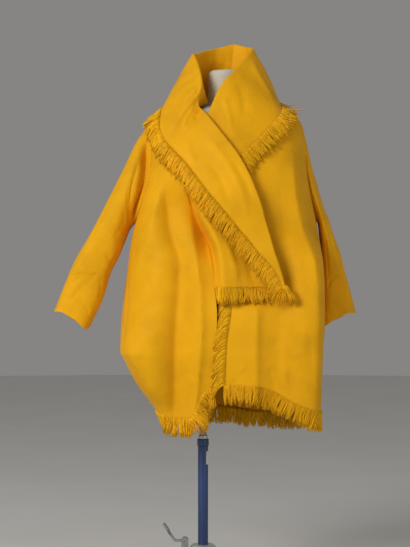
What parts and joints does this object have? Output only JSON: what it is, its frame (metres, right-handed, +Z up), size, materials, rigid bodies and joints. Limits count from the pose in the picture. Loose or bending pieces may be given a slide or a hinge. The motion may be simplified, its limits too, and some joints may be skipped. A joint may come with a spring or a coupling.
{
  "type": "silk coat on a dress form stand",
  "caption": "Oversized crisp silk coat with self-fringed edges, a tall folded collar and one long lapel crossing the chest, worn by a limbless dress form on a pedal stand.",
  "frame": {"origin": "middle of the base's underside, on the pole's axis", "axes": "+Z up along the pole; the coat's front faces -Y and +X is the wearer's left"},
  "size_m": [0.83, 0.46, 1.479],
  "materials": {
    "silk": "crisp saffron silk with a soft sheen",
    "fringe_silk": "drawn silk threads",
    "form_cloth": "plain off-white cover",
    "wood": "varnished",
    "navy_paint": "satin navy",
    "pale_metal": "satin",
    "cast_grey": "satin grey",
    "pale_plate": "matt"
  },
  "bodies": {
    "stand": {"stand_base": "cast_grey", "stand_hub": "pale_metal", "stand_tube": "navy_paint", "stand_collar": "navy_paint", "stand_ring": "pale_metal", "stand_tag": "pale_plate", "pedal_ear_front": "cast_grey", "pedal_ear_back": "cast_grey"},
    "form": {"form_pole": "wood", "form_torso": "form_cloth", "front_right": "silk", "front_left": "silk", "coat_back": "silk", "sleeve_right": "silk", "sleeve_left": "silk", "wrap_panel": "silk", "collar_right": "silk", "collar_left": "silk", "fringe_hem_right": "fringe_silk", "fringe_hem_left": "fringe_silk", "fringe_hem_back": "fringe_silk", "fringe_wrap": "fringe_silk", "fringe_front_edge": "fringe_silk", "fringe_collar_right": "fringe_silk", "fringe_collar_left": "fringe_silk"},
    "pedal": {"pedal_lever": "cast_grey"}
  },
  "joints": [
    {"name": "height_slide", "type": "slide", "parent": "stand", "child": "form", "axis": [0, 0, 1], "range_m": [-0.1, 0.12]},
    {"name": "pedal_hinge", "type": "hinge", "parent": "stand", "child": "pedal", "pos_m": [-0.05, 0, 0.1], "axis": [0, -1, 0], "range_deg": [0, 25]}
  ]
}
